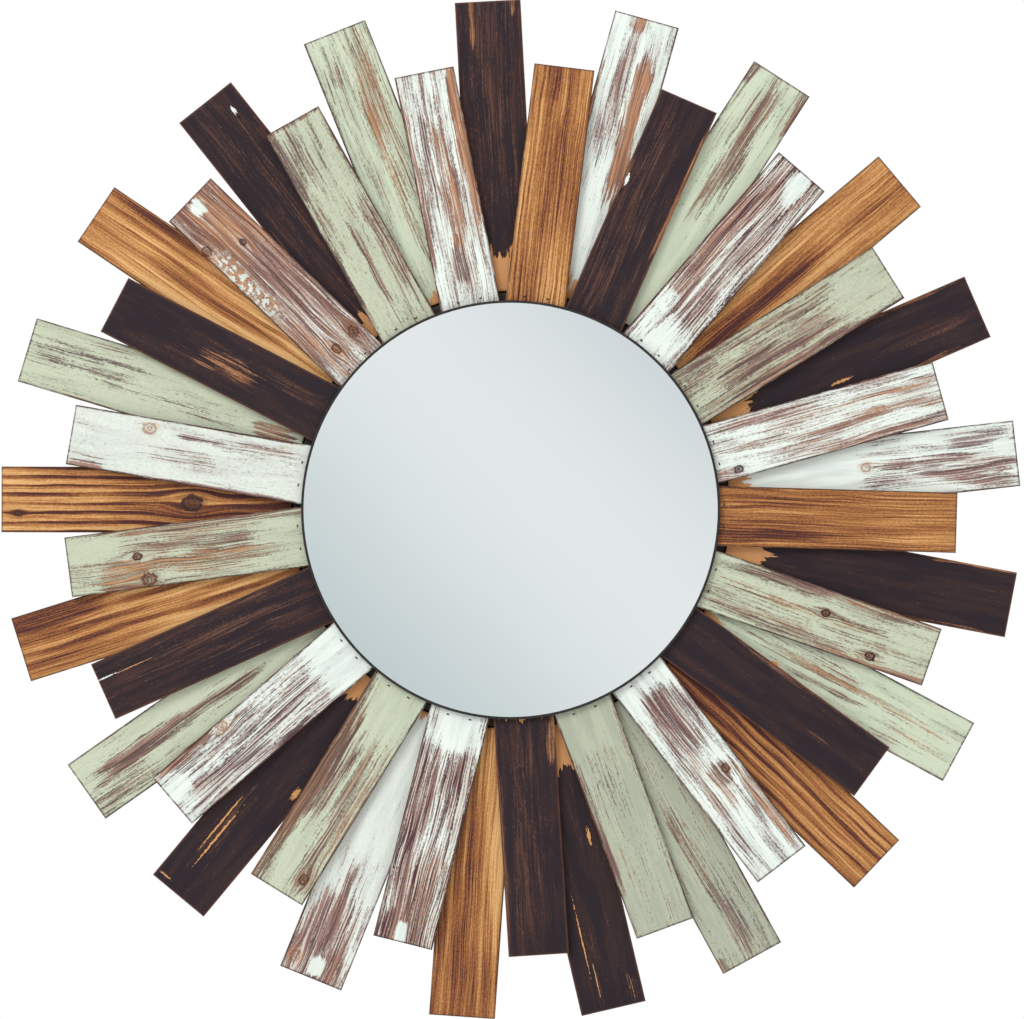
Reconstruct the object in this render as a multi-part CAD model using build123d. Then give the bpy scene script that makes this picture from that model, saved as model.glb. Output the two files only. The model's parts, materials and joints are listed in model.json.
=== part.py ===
from build123d import *
import os
from math import atan2, cos, degrees, hypot, radians, sin, sqrt, tan

# Sunburst wall mirror of reclaimed planks, in millimetres. It faces -Y, +Z is up, and the
# origin is the mirror's centre on the wall. Bearings run clockwise from the top, in degrees.

# Two rows of planks: the long row lies on the board, the short row covers its seams
plank_count = 21
long_reach = 400.0
long_width = 51.7
long_thick = 7.0
short_reach = 350.0
short_width = 47.3
short_thick = 7.0
arris = 0.6
seam_gap = 0.4
long_start_angle = -2.6
short_start_angle = -11.2

# How far each plank was laid off its even place, by eye: turned round the mirror, and leaning
long_turns = [0, 1, 0.5, 1, 0.5, 0.5, 0.5, 1, -0.5, 0, -0.5, -0.5, 0, 0.5, -1, -0.5, -0.5, -0.5, -0.5, 0, -0.5]
long_leans = [-0.5, 0, 0.5, 0, 0, 0, 0, 0, -0.5, -0.5, -1.5, -1.5, -1, -1, -1.5, -1.5, -1, -1.5, -1.5, -1.5, -1.5]
short_turns = [0, 1, 0.5, 0.5, 0.5, 0, 0, 0.5, 0, -0.5, -0.5, -1, -0.5, 0, 0.5, 0, -0.5, -0.5, 0, -0.5, -1]

# Glass in its hoop
glass_diameter = 326.0
glass_thick = 3.0
rim_wall = 1.0
rim_lip = 1.0
rim_lip_thick = 0.6
rim_rounding = 0.4
rim_fit = 0.3

# Where the planks end under and beside the hoop
short_tuck = 6.3
long_setback = 7.7
disc_gap = 1.5

# Foam tape behind the glass
tape_strips = 4
tape_width = 25.0
tape_length = 200.0
tape_thick = 1.0
tape_pitch = 55.0

# Board behind the planks
board_diameter = 500.0
board_thick = 9.0

# T-head brads that show beside the hoop, two to each short plank
brad_setback = 3.2
brad_spread = 18.0
brad_width = 1.2
brad_thick = 1.0
brad_head = 2.2
brad_head_thick = 0.6
brad_bite = 5.0
brad_fit = 0.05

# Countersunk screws from the back, one to each long plank and a few into the discs
screw_diameter = 3.0
screw_head = 6.4
screw_head_depth = 1.9
screw_point = 1.5
screw_bite = 5.0
screw_fit = 0.05
screw_inner_step = 16.0
screw_edge_step = 22.0
disc_screw_count = 6
disc_screw_circle = 200.0
disc_screw_bite = 4.0

# D-ring hangers on the back
hanger_spread = 240.0
hanger_height = 150.0
strap_width = 14.0
strap_thick = 1.0
leaf_gap = 0.1
strap_length = 44.0
strap_slope = 40.0
strap_bend = 2.0
strap_hole_first = 24.0
strap_hole_pitch = 12.0
ring_wire = 2.5
ring_width = 22.0
ring_depth = 15.0
ring_corner = 2.5
ring_fit = 0.3
pan_diameter = 3.5
pan_head = 7.0
pan_head_thick = 2.0
pan_rounding = 1.2
pan_length = 9.0

# Rubber bumpers that keep the hangers off the wall
bumper_count = 4
bumper_diameter = 14.0
bumper_thick = 6.0
bumper_edge_step = 22.0
bumper_chamfer = 1.5

# Depths in front of the wall, and radii that follow from the sizes above
board_back = bumper_thick
board_front = board_back + board_thick
long_front = board_front + long_thick
short_front = long_front + short_thick
glass_back = short_front + tape_thick
glass_front = glass_back + glass_thick
glass_radius = glass_diameter / 2
rim_radius = glass_radius + rim_fit + rim_wall
short_root = rim_radius - short_tuck
long_root = rim_radius + long_setback
board_radius = board_diameter / 2
plank_pitch = 360 / plank_count
strap_stack = 2 * strap_thick + leaf_gap
os.makedirs("parts", exist_ok=True)


def layer(depth):
    """Plane facing the viewer at a depth in front of the wall, with its x to the right and its y up."""
    return Plane(origin=(0, -depth, 0), x_dir=(1, 0, 0), z_dir=(0, -1, 0))


def at_bearing(radius, bearing, turn=0.0):
    """Place at a radius and bearing, with y pointing outward and then turned clockwise."""
    across = radius * sin(radians(bearing))
    up = radius * cos(radians(bearing))
    return Pos(across, up) * Rot(0, 0, -bearing - turn)


def slab(outline, depth, thick):
    """Solid of an even thickness whose back lies at a depth in front of the wall."""
    return extrude(layer(depth) * outline, thick)


def save(node, shape):
    shape.label = node
    export_step(shape, "parts/" + node + ".step")


def group(solids):
    return Compound(children=solids)


class Row:
    """One ring of planks: where each lies and which way it points."""

    def __init__(self, reach, width, thick, root, back, start, turns, leans):
        self.reach = reach
        self.width = width
        self.thick = thick
        self.root = root
        self.back = back
        self.bearings = [start + plank_pitch * k + turns[k % len(turns)] for k in range(plank_count)]
        self.leans = [leans[k % len(leans)] for k in range(plank_count)]

    def spot(self, k, across, radius):
        """Place on a plank, across it from its middle line and at a radius along it."""
        tip = at_bearing(self.reach, self.bearings[k], self.leans[k])
        return tip * Pos(across, radius - self.reach)

    def seam(self, k):
        """Place on the line midway between a plank and the next, with y along the seam."""
        after = (k + 1) % plank_count
        here = self.spot(k, 0, self.root).position
        there = self.spot(after, 0, self.root).position
        turn_here = self.bearings[k] + self.leans[k]
        turn_there = self.bearings[after] + self.leans[after] + (360 if after == 0 else 0)
        middle = (here + there) / 2
        return Pos(middle.X, middle.Y) * Rot(0, 0, -(turn_here + turn_there) / 2)

    def plank(self, k):
        """Sawn lath, mitred where it would meet its neighbours, with its front edges eased."""
        length = self.reach - self.root
        lath = self.spot(k, 0, self.reach) * Rectangle(self.width, length, align=(Align.CENTER, Align.MAX))
        waste = Rectangle(self.width, 2 * self.reach, align=(Align.MIN, Align.CENTER))
        clockwise = self.seam(k) * Pos(-seam_gap / 2, 0) * waste
        anticlockwise = self.seam((k - 1) % plank_count) * Rot(0, 0, 180) * Pos(-seam_gap / 2, 0) * waste
        solid = slab(lath - clockwise - anticlockwise, self.back, self.thick)
        rooted = self.root + self.width / 2
        front = solid.edges().group_by(Axis.Y)[0]
        return chamfer([edge for edge in front if hypot((edge @ 0.5).X, (edge @ 0.5).Z) > rooted], arris)


def brad_spots(k):
    ring = rim_radius + brad_setback
    return [short_row.spot(k, side * brad_spread / 2, ring) for side in (-1, 1)]


def brad(spot, slack=0.0):
    """T-head brad driven flush through the short plank into the disc below it."""
    length = short_thick + brad_bite
    shank = Rectangle(brad_width + slack, brad_thick + slack)
    head = Rectangle(brad_head + slack, brad_thick + slack)
    body = slab(spot * shank, short_front - length - slack, length + slack)
    top = slab(spot * head, short_front - brad_head_thick - slack, brad_head_thick + slack)
    return body + top


def screw_spot(k):
    """Place on a long plank, by turns near its inner end and near the board's edge."""
    radii = (long_root + screw_inner_step, board_radius - screw_edge_step)
    return long_row.spot(k, 0, radii[k % len(radii)])


def flat_screw(spot, bite, slack=0.0):
    """Countersunk wood screw, its head flush with the board's back."""
    shank = screw_diameter / 2 + slack
    head = screw_head / 2 + slack
    tip = board_thick + bite + slack
    side = Polyline(
        (0, 0), (head, 0), (shank, screw_head_depth + slack), (shank, tip - screw_point), (0, tip), close=True
    )
    solid = revolve(Plane.XZ * make_face(side), Axis.Z)
    return layer(board_back) * spot * solid


def pan_screw(spot, slack=0.0):
    """Pan-head screw seated on a hanger strap, as a revolved side view."""
    shank = pan_diameter / 2 + slack
    shape = Pos(0, 0, -strap_stack) * Cylinder(shank, pan_length + slack, align=(Align.CENTER, Align.CENTER, Align.MIN))
    if slack == 0:
        head = Cylinder(pan_head / 2, pan_head_thick, align=(Align.CENTER, Align.CENTER, Align.MAX))
        shape += Pos(0, 0, -strap_stack) * fillet(head.edges().sort_by(Axis.Z)[0], pan_rounding)
    return layer(board_back) * spot * shape


def strap_spots(side):
    """The two screw places on one hanger strap."""
    heights = (hanger_height - strap_hole_first, hanger_height - strap_hole_first - strap_hole_pitch)
    return [Pos(side * hanger_spread / 2, height) for height in heights]


loop_radius = ring_wire / 2 + ring_fit
pivot_depth = board_back - loop_radius - strap_thick


def strap(side):
    """Strip folded round the ring's straight leg, its two leaves pressed flat together."""
    middle = loop_radius + strap_thick / 2
    lift = loop_radius + strap_thick
    end = -strap_length
    over = radians(strap_slope)
    leave = (-middle * sin(over), lift + middle * cos(over))
    upper = strap_stack - strap_thick / 2
    knee = (leave[0] - (leave[1] - upper) / tan(over), upper)
    lower_leaf = Line((end, strap_thick / 2), (0, strap_thick / 2))
    loop = CenterArc((0, lift), middle, -90, 180 + strap_slope)
    upper_leaf = FilletPolyline(leave, knee, (end, upper), radius=strap_bend)
    path = Wire([*lower_leaf.edges(), *loop.edges(), *upper_leaf.edges()])
    section = Plane(origin=(end, strap_thick / 2, 0), x_dir=(0, 1, 0), z_dir=(1, 0, 0))
    strip = sweep(section * Rectangle(strap_thick, strap_width), path)
    plan = SlotOverall(2 * strap_length, strap_width)
    trim = extrude(Plane.XZ * plan, 2 * lift, both=True)
    strip = strip & trim
    upright = Plane(origin=(side * hanger_spread / 2, -board_back, hanger_height), x_dir=(0, 0, 1), z_dir=(-1, 0, 0))
    solid = upright * strip
    for spot in strap_spots(side):
        hole = layer(board_back) * spot * Cylinder(pan_diameter / 2 + ring_fit, 5 * strap_thick)
        solid -= hole
    return solid


def ring(side):
    """Wire D with its straight leg in the strap's loop, hanging over the strap's leaves."""
    half = ring_width / 2
    shoulder = ring_depth - half
    leg = Line((ring_corner - half, 0), (half - ring_corner, 0))
    right = CenterArc((half - ring_corner, -ring_corner), ring_corner, 90, -90)
    right_side = Line((half, -ring_corner), (half, -shoulder))
    bow = CenterArc((0, -shoulder), half, 0, -180)
    left_side = Line((-half, -shoulder), (-half, -ring_corner))
    left = CenterArc((ring_corner - half, -ring_corner), ring_corner, 180, -90)
    path = Wire([edge for piece in (leg, right, right_side, bow, left_side, left) for edge in piece.edges()])
    section = Plane(origin=(ring_corner - half, 0, 0), x_dir=(0, 1, 0), z_dir=(1, 0, 0))
    wire = sweep(section * Circle(ring_wire / 2), path)
    rise = strap_stack + ring_fit + ring_wire / 2 - (loop_radius + strap_thick)
    crossing = shoulder + sqrt(half**2 - (strap_width / 2) ** 2)
    tilt = degrees(atan2(rise, crossing))
    pivot = Pos(side * hanger_spread / 2, -pivot_depth, hanger_height)
    return pivot * Rot(90 + tilt, 0, 0) * wire


def bumper(spot):
    """Rubber foot, flat where it meets the wall, with a chamfered edge."""
    foot = Cylinder(bumper_diameter / 2, bumper_thick, align=(Align.CENTER, Align.CENTER, Align.MAX))
    foot = chamfer(foot.edges().sort_by(Axis.Z)[0], bumper_chamfer)
    return layer(board_back) * spot * foot


def rim():
    """Thin hoop with a lip that holds the glass, turned round the mirror's axis."""
    inner = rim_radius - rim_wall
    lip = glass_radius + rim_fit - rim_lip
    front = glass_front + rim_lip_thick
    outline = Polyline(
        (rim_radius, -short_front),
        (rim_radius, -front),
        (lip, -front),
        (lip, -glass_front),
        (inner, -glass_front),
        (inner, -short_front),
        close=True,
    )
    section = make_face(outline)
    corner = section.vertices().sort_by(Axis.Y)[:2].sort_by(Axis.X)[-1]
    return revolve(fillet(corner, rim_rounding), Axis.Y)


long_row = Row(long_reach, long_width, long_thick, long_root, board_front, long_start_angle, long_turns, long_leans)
short_row = Row(
    short_reach, short_width, short_thick, short_root, long_front, short_start_angle, short_turns, [0]
)

every_screw = [screw_spot(k) for k in range(plank_count)]
disc_spots = [at_bearing(disc_screw_circle / 2, 360 / disc_screw_count * k) for k in range(disc_screw_count)]
disc_bite = long_thick + disc_screw_bite
every_brad = [spot for k in range(plank_count) for spot in brad_spots(k)]
hanger_sides = {"left": -1, "right": 1}

# Planks, with their fixing holes
for k in range(plank_count):
    long_plank = long_row.plank(k) - flat_screw(screw_spot(k), screw_bite, screw_fit)
    save("long_plank_%02d" % (k + 1), long_plank)
    short_plank = short_row.plank(k)
    for spot in brad_spots(k):
        short_plank -= brad(spot, brad_fit)
    save("short_plank_%02d" % (k + 1), short_plank)

# Board and the two discs that fill the middle
board = slab(Circle(board_radius), board_back, board_thick)
board -= [flat_screw(spot, screw_bite, screw_fit) for spot in every_screw]
board -= [flat_screw(spot, disc_bite, screw_fit) for spot in disc_spots]
board -= [pan_screw(spot, screw_fit) for side in hanger_sides.values() for spot in strap_spots(side)]
save("backing_board", board)

lower_disc = slab(Circle(long_root - disc_gap), board_front, long_thick)
lower_disc -= [flat_screw(spot, disc_bite, screw_fit) for spot in disc_spots]
lower_disc -= [brad(spot, brad_fit) for spot in every_brad]
save("lower_filler_disc", lower_disc)

upper_disc = slab(Circle(short_root - disc_gap), long_front, short_thick)
upper_disc -= [flat_screw(spot, disc_bite, screw_fit) for spot in disc_spots]
save("upper_filler_disc", upper_disc)

# Glass, tape and hoop
save("mirror_glass", slab(Circle(glass_radius), glass_back, glass_thick))
first_strip = -tape_pitch * (tape_strips - 1) / 2
strips = [Pos(first_strip + tape_pitch * k, 0) * Rectangle(tape_width, tape_length) for k in range(tape_strips)]
save("mirror_tape", group([slab(strip, short_front, tape_thick) for strip in strips]))
save("mirror_rim", rim())

# Fixings
save("plank_brads", group([brad(spot) for spot in every_brad]))
save("plank_screws", group([flat_screw(spot, screw_bite) for spot in every_screw]))
save("disc_screws", group([flat_screw(spot, disc_bite) for spot in disc_spots]))

# Hangers and bumpers on the back
for name, side in hanger_sides.items():
    save("hanger_strap_" + name, strap(side))
    save("hanger_ring_" + name, ring(side))
pan_spots = [spot for side in hanger_sides.values() for spot in strap_spots(side)]
save("hanger_screws", group([pan_screw(spot) for spot in pan_spots]))
bumper_step = 360 / bumper_count
bumper_radius = board_radius - bumper_edge_step
bumper_spots = [at_bearing(bumper_radius, bumper_step * (k + 0.5)) for k in range(bumper_count)]
save("wall_bumpers", group([bumper(spot) for spot in bumper_spots]))
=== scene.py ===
import json
import math
import bpy
import numpy as np
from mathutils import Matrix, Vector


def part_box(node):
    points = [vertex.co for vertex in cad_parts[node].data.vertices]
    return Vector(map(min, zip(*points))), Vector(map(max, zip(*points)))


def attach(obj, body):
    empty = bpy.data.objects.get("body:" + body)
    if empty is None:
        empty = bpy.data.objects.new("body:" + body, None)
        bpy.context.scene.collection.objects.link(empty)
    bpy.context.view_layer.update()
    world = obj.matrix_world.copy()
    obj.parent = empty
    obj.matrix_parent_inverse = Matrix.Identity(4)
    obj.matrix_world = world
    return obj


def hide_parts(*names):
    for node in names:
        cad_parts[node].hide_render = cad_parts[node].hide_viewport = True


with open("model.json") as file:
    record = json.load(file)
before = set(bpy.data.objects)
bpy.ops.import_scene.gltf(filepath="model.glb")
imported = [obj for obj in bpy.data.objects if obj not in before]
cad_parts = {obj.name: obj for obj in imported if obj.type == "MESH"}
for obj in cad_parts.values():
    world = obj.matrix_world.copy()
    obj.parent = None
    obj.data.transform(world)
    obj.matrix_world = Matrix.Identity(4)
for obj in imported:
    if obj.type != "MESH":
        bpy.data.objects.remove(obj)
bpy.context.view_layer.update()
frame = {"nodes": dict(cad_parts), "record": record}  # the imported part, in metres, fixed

mm = 0.001
nodes = frame["nodes"]
slotOf = {row["node"]: row["material_slot"] for row in frame["record"]["subparts"]}


def screenColour(red, green, blue):  # 0 to 255 as a screen shows it, to the linear light that shaders want
    linear = [part / 3294.6 if part < 10.31 else ((part / 255 + 0.055) / 1.055) ** 2.4 for part in (red, green, blue)]
    return (*linear, 1.0)


# Shader maths, written as expressions on wires
class Wire:
    def __init__(self, finish, socket):
        self.finish = finish
        self.socket = socket

    def __add__(self, other):
        return self.finish.maths("ADD", self, other)

    def __sub__(self, other):
        return self.finish.maths("SUBTRACT", self, other)

    def __rsub__(self, other):
        return self.finish.maths("SUBTRACT", other, self)

    def __mul__(self, other):
        return self.finish.maths("MULTIPLY", self, other)

    def __truediv__(self, other):
        return self.finish.maths("DIVIDE", self, other)

    def __rtruediv__(self, other):
        return self.finish.maths("DIVIDE", other, self)

    def __pow__(self, other):
        return self.finish.maths("POWER", self, other)

    def __abs__(self):
        return self.finish.maths("ABSOLUTE", self)

    __radd__ = __add__
    __rmul__ = __mul__


class Finish:
    def __init__(self, name):
        self.material = bpy.data.materials.new(name)
        self.material.use_nodes = True
        self.tree = self.material.node_tree
        self.tree.nodes.clear()
        self.shader = self.node("ShaderNodeBsdfPrincipled")
        self.node("ShaderNodeOutputMaterial", {}, {0: Wire(self, self.shader.outputs[0])})

    def node(self, kind, settings=None, sockets=None):
        made = self.tree.nodes.new(kind)
        for key, setting in (settings or {}).items():
            setattr(made, key, setting)
        for key, value in (sockets or {}).items():
            self.feed(made.inputs[key], value)
        return made

    def feed(self, socket, value):
        if isinstance(value, Wire):
            self.tree.links.new(value.socket, socket)
        else:
            socket.default_value = value

    def set(self, name, value):  # one socket of the shader, linked or a plain number
        self.feed(self.shader.inputs[name], value)

    def maths(self, operation, *values):
        made = self.node("ShaderNodeMath", {"operation": operation}, dict(enumerate(values)))
        return Wire(self, made.outputs[0])

    def least(self, one, other):
        return self.maths("MINIMUM", one, other)

    def most(self, one, other):
        return self.maths("MAXIMUM", one, other)

    def clamp(self, value):
        return self.least(self.most(value, 0.0), 1.0)

    def rise(self, value, low, high):  # smooth step, 0 at low and 1 at high
        sockets = {"Value": value, "From Min": low, "From Max": high}
        made = self.node("ShaderNodeMapRange", {"interpolation_type": "SMOOTHSTEP"}, sockets)
        return Wire(self, made.outputs["Result"])

    def blend(self, amount, first, second):  # colours
        made = self.node("ShaderNodeMix", {"data_type": "RGBA"}, {0: amount, 6: first, 7: second})
        return Wire(self, made.outputs[2])

    def objectPlace(self):
        return Wire(self, self.node("ShaderNodeTexCoord").outputs["Object"])

    def split(self, vector):
        parts = self.node("ShaderNodeSeparateXYZ", {}, {0: vector})
        return [Wire(self, socket) for socket in parts.outputs]

    def point(self, x, y, z):
        return Wire(self, self.node("ShaderNodeCombineXYZ", {}, {0: x, 1: y, 2: z}).outputs[0])

    def noise(self, vector, scale=1.0, detail=3.0, roughness=0.55, distortion=0.0):
        sockets = {
            "Vector": vector, "Scale": scale, "Detail": detail, "Roughness": roughness, "Distortion": distortion,
        }
        return Wire(self, self.node("ShaderNodeTexNoise", {"noise_dimensions": "3D"}, sockets).outputs[0])

    def bump(self, height, strength, distance):
        sockets = {"Strength": strength, "Distance": distance, "Height": height}
        made = self.node("ShaderNodeBump", {}, sockets)
        self.set("Normal", Wire(self, made.outputs["Normal"]))


# Camera, stage and light
stageLook = {
    "imageWidth": 1024,
    "imageHeight": 1019,
    "sensorWidth": 36.0,
    "millimetresPerPixel": 0.7854,
    "centreAcross": 510.64,  # the mirror's centre in the photograph's frame
    "centreDown": 509.86,
    "distance": 5.0,
    "floorDrop": 1.45,
    "floorSize": 8.0,
    "floorColour": (242, 242, 240),
    "worldLight": 0.86,
    "softboxPower": 98.0,
    "softboxSize": 2.4,
    "softboxPlace": (-2.2, -3.4, 2.6),
}


def makeCamera():
    look = stageLook
    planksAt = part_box("long_plank_01")[0][1]
    lens = look["sensorWidth"] * look["distance"] / (look["imageWidth"] * look["millimetresPerPixel"] * mm)
    across = (look["imageWidth"] / 2 - look["centreAcross"]) * look["millimetresPerPixel"] * mm
    up = (look["centreDown"] - look["imageHeight"] / 2) * look["millimetresPerPixel"] * mm
    bpy.ops.object.camera_add(
        location=(across, planksAt - look["distance"], up), rotation=(math.radians(90), 0, 0)
    )
    camera = bpy.context.object
    camera.data.lens = lens
    camera.data.sensor_width = look["sensorWidth"]
    camera.data.clip_end = 60.0
    bpy.context.scene.camera = camera


def makeLights():
    look = stageLook
    world = bpy.data.worlds.new("studio")
    bpy.context.scene.world = world
    world.use_nodes = True
    tree = world.node_tree
    tree.nodes.clear()
    path = tree.nodes.new("ShaderNodeLightPath")
    shown = path.outputs["Is Camera Ray"]
    for ray in ("Is Glossy Ray", "Is Transmission Ray"):  # metal and glass show the white backdrop too
        either = tree.nodes.new("ShaderNodeMath")
        either.operation = "MAXIMUM"
        tree.links.new(shown, either.inputs[0])
        tree.links.new(path.outputs[ray], either.inputs[1])
        shown = either.outputs[0]
    mix = tree.nodes.new("ShaderNodeMixShader")
    tree.links.new(shown, mix.inputs[0])
    for socket, strength in ((1, look["worldLight"]), (2, 1.0)):
        light = tree.nodes.new("ShaderNodeBackground")
        light.inputs[0].default_value = (1.0, 1.0, 1.0, 1.0)
        light.inputs[1].default_value = strength
        tree.links.new(light.outputs[0], mix.inputs[socket])
    out = tree.nodes.new("ShaderNodeOutputWorld")
    tree.links.new(mix.outputs[0], out.inputs[0])
    bpy.ops.object.light_add(type="AREA", location=look["softboxPlace"])
    softbox = bpy.context.object
    softbox.data.shape = "DISK"
    softbox.data.size = look["softboxSize"]
    softbox.data.energy = look["softboxPower"]
    softbox.rotation_euler = (-softbox.location).to_track_quat("-Z", "Y").to_euler()


def makeFloor():
    look = stageLook
    bpy.ops.mesh.primitive_plane_add(size=look["floorSize"], location=(0, 0, -look["floorDrop"]))
    floor = bpy.context.object
    floor.name = "floor"
    bpy.ops.object.transform_apply(location=True, rotation=True, scale=True)
    paint = Finish("floorPaint")
    paint.set("Base Color", screenColour(*look["floorColour"]))
    paint.set("Roughness", 0.9)
    floor.data.materials.append(paint.material)


# A pale card behind the camera, which only the mirror sees
cardLook = {
    "size": 3.0,
    "behindCamera": 0.6,
    "bandAt": 0.064,  # the brightest band, metres off the diagonal on the card
    "bright": (232, 236, 237),
    "lowerLeft": (180, 195, 198),
    "upperRight": (182, 191, 200),
    "reach": 0.62,
}


def makeCard():
    look = cardLook
    away = -stageLook["distance"] - look["behindCamera"]
    bpy.ops.mesh.primitive_plane_add(size=look["size"], location=(0, away, 0), rotation=(math.radians(90), 0, 0))
    card = bpy.context.object
    card.name = "greyCard"
    bpy.ops.object.transform_apply(location=True, rotation=True, scale=True)
    grey = Finish("greyCard")
    x, y, z = grey.split(grey.objectPlace())
    across = (x + z) * math.sqrt(0.5) - look["bandAt"]
    cloudy = grey.noise(grey.objectPlace(), 1.4, 2.0) - 0.5
    wavy = across + cloudy * 0.05
    left = grey.rise(wavy, 0.0, -look["reach"])
    right = grey.rise(wavy, 0.0, look["reach"])
    tone = grey.blend(left, screenColour(*look["bright"]), screenColour(*look["lowerLeft"]))
    tone = grey.blend(right, tone, screenColour(*look["upperRight"]))
    glow = grey.node("ShaderNodeEmission", {}, {0: tone, 1: 1.0})
    clear = grey.node("ShaderNodeBsdfTransparent")
    path = grey.node("ShaderNodeLightPath")
    factor = Wire(grey, path.outputs["Is Glossy Ray"])
    sockets = {0: factor, 1: Wire(grey, clear.outputs[0]), 2: Wire(grey, glow.outputs[0])}
    shown = grey.node("ShaderNodeMixShader", {}, sockets)
    out = [node for node in grey.tree.nodes if node.type == "OUTPUT_MATERIAL"][0]
    grey.feed(out.inputs[0], Wire(grey, shown.outputs[0]))
    card.data.materials.append(grey.material)
    card.visible_shadow = False
    card.visible_diffuse = False


makeCamera()
makeLights()
makeFloor()
makeCard()
print("stage: camera, light, floor and card")

# Colours that the plank finishes share
tones = {
    "white": (227, 236, 228),
    "whiteCool": (212, 221, 215),
    "mint": (199, 209, 185),
    "mintPale": (188, 199, 176),
    "mintGrey": (166, 172, 153),
    "whiteDull": (200, 202, 192),
    "mintWorn": (160, 152, 130),
    "mintDull": (179, 186, 165),
    "espresso": (41, 32, 38),
    "espressoBrown": (53, 38, 39),
    "brown": (162, 118, 94),
    "purple": (100, 69, 74),
    "plumPale": (146, 110, 106),
    "plum": (66, 37, 46),
    "rustPale": (150, 104, 78),
    "tan": (198, 142, 98),
    "raw": (208, 152, 94),
    "rust": (122, 76, 50),
    "burnt": (88, 54, 40),
    "black": (42, 31, 34),
    # edge: burnt arris brown, which along the plank rims also serves as painted shade
    "edge": (62, 42, 36),
    "darkLine": (97, 62, 53),
    "lineWhite": (82, 52, 58),
    "lineMint": (84, 68, 60),
    "grey": (120, 108, 112),
    "hazeWhite": (196, 170, 154),
    "hazeMint": (170, 152, 128),
}

# Torched pine, from golden to charred
torchSteps = [
    (0.0, (224, 180, 122)),
    (0.25, (202, 150, 94)),
    (0.5, (168, 113, 65)),
    (0.72, (136, 83, 48)),
    (0.9, (98, 55, 43)),
    (1.0, (74, 40, 38)),
]


def tone(name):
    return screenColour(*tones[name])


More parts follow.
